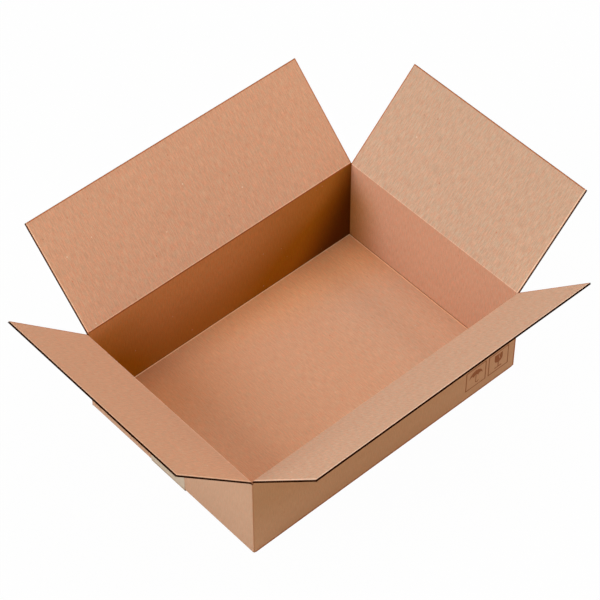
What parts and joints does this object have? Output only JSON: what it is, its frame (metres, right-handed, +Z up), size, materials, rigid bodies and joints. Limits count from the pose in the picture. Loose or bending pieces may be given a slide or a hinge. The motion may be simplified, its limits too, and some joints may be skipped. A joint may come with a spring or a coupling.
{
  "type": "open cardboard box",
  "caption": "Low rectangular corrugated carton, open at the top with its closing flaps leaning outwards, the bottom folded shut and taped.",
  "frame": {"origin": "middle of the underside, where the box stands", "axes": "+X along the long walls, +Y across them, +Z up out of the open top"},
  "size_m": [0.4956, 0.3956, 0.1867],
  "materials": {
    "kraft_board": "unprinted brown kraft liner, matte, fine fibre",
    "packing_tape": "thin buff packing film, satin"
  },
  "bodies": {
    "carton_body": {"carton": "kraft_board", "seam_tape": "packing_tape"},
    "long_flap_back": {"long_flap_back": "kraft_board"},
    "long_flap_front": {"long_flap_front": "kraft_board"},
    "short_flap_left": {"short_flap_left": "kraft_board"},
    "short_flap_right": {"short_flap_right": "kraft_board"}
  },
  "joints": [
    {"name": "long_flap_back_fold", "type": "hinge", "parent": "carton_body", "child": "long_flap_back", "pos_m": [0, 0.1165, 0.10435], "axis": [1, 0, 0], "range_deg": [-105, 135]},
    {"name": "long_flap_front_fold", "type": "hinge", "parent": "carton_body", "child": "long_flap_front", "pos_m": [0, -0.1165, 0.10435], "axis": [-1, 0, 0], "range_deg": [-105, 135]},
    {"name": "short_flap_left_fold", "type": "hinge", "parent": "carton_body", "child": "short_flap_left", "pos_m": [-0.1665, 0, 0.10265], "axis": [0, 1, 0], "range_deg": [-105, 135]},
    {"name": "short_flap_right_fold", "type": "hinge", "parent": "carton_body", "child": "short_flap_right", "pos_m": [0.1665, 0, 0.10265], "axis": [0, -1, 0], "range_deg": [-105, 135]}
  ]
}
